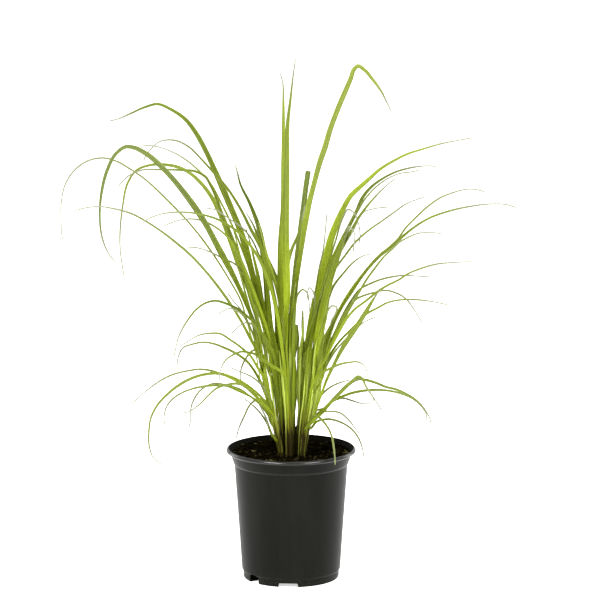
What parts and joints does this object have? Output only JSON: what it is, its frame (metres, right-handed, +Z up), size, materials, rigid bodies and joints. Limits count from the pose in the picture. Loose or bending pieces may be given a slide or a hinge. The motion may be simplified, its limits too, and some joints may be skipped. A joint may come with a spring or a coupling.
{
  "type": "potted lemongrass",
  "caption": "Clump of lemongrass with long arching strap leaves, growing from dark soil in a tapered black nursery pot with a rolled rim.",
  "frame": {"origin": "middle of the pot's flat underside", "axes": "+Z up through the pot and the clump, +X to the right and +Y away from the viewer of the front"},
  "size_m": [0.5861, 0.3558, 0.6691],
  "materials": {
    "black_plastic": "satin, moulded",
    "potting_soil": "rough, with bark flecks",
    "leaf_sheath": "satin",
    "leaf_blade": "satin"
  },
  "bodies": {
    "root": {"pot": "black_plastic", "soil": "potting_soil", "stalk_01": "leaf_sheath", "stalk_02": "leaf_sheath", "stalk_03": "leaf_sheath", "stalk_04": "leaf_sheath", "stalk_05": "leaf_sheath", "stalk_06": "leaf_sheath", "stalk_07": "leaf_sheath", "stalk_08": "leaf_sheath", "stalk_09": "leaf_sheath", "stalk_10": "leaf_sheath", "stalk_11": "leaf_sheath", "leaf_left_01": "leaf_blade", "leaf_left_02": "leaf_blade", "leaf_left_03": "leaf_blade", "leaf_left_04": "leaf_blade", "leaf_left_05": "leaf_blade", "leaf_left_06": "leaf_blade", "leaf_left_07": "leaf_blade", "leaf_left_08": "leaf_blade", "leaf_left_09": "leaf_blade", "leaf_left_10": "leaf_blade", "leaf_left_11": "leaf_blade", "leaf_left_12": "leaf_blade", "leaf_left_13": "leaf_blade", "leaf_left_14": "leaf_blade", "leaf_left_15": "leaf_blade", "leaf_left_16": "leaf_blade", "leaf_left_17": "leaf_blade", "leaf_left_18": "leaf_blade", "leaf_left_19": "leaf_blade", "leaf_left_20": "leaf_blade", "leaf_middle_01": "leaf_blade", "leaf_middle_02": "leaf_blade", "leaf_middle_03": "leaf_blade", "leaf_middle_04": "leaf_blade", "leaf_middle_05": "leaf_blade", "leaf_middle_06": "leaf_blade", "leaf_middle_07": "leaf_blade", "leaf_right_01": "leaf_blade", "leaf_right_02": "leaf_blade", "leaf_right_03": "leaf_blade", "leaf_right_04": "leaf_blade", "leaf_right_05": "leaf_blade", "leaf_right_06": "leaf_blade", "leaf_right_07": "leaf_blade", "leaf_right_08": "leaf_blade", "leaf_right_09": "leaf_blade", "leaf_right_10": "leaf_blade", "leaf_right_11": "leaf_blade", "leaf_right_12": "leaf_blade", "leaf_right_13": "leaf_blade", "leaf_right_14": "leaf_blade", "leaf_right_15": "leaf_blade", "leaf_right_16": "leaf_blade", "leaf_right_17": "leaf_blade", "leaf_right_18": "leaf_blade", "leaf_right_19": "leaf_blade", "leaf_right_20": "leaf_blade"}
  },
  "joints": []
}
